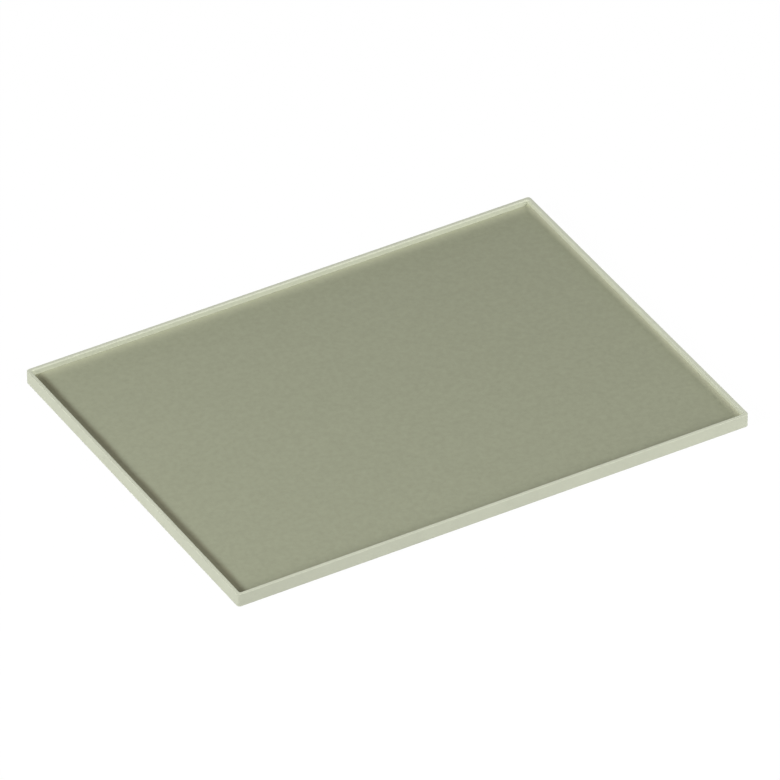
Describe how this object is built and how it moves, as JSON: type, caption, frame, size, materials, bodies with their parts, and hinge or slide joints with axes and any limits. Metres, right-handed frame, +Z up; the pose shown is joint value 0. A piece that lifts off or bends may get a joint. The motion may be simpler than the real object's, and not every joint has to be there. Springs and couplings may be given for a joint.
{
  "type": "wet palette",
  "caption": "Shallow open wet palette: a pale moulded tray with a low rounded rim, holding a wet sponge under a painting membrane.",
  "frame": {"origin": "middle of the tray's underside, on the surface that it stands on", "axes": "+X along the tray's length, +Y across its width, +Z up"},
  "size_m": [0.3, 0.219, 0.0075],
  "materials": {
    "tray_plastic": "pale sage moulded plastic, satin",
    "sponge_foam": "fine open-cell foam, wet",
    "membrane_paper": "wet parchment, faintly mottled, soft sheen"
  },
  "bodies": {
    "tray": {"tray": "tray_plastic"},
    "sponge": {"sponge": "sponge_foam"},
    "membrane": {"membrane": "membrane_paper"}
  },
  "joints": [
    {"name": "sponge_lift", "type": "slide", "parent": "tray", "child": "sponge", "axis": [0, 0, 1], "range_m": [0, 0.03]},
    {"name": "membrane_lift", "type": "slide", "parent": "sponge", "child": "membrane", "axis": [0, 0, 1], "range_m": [0, 0.02]}
  ]
}
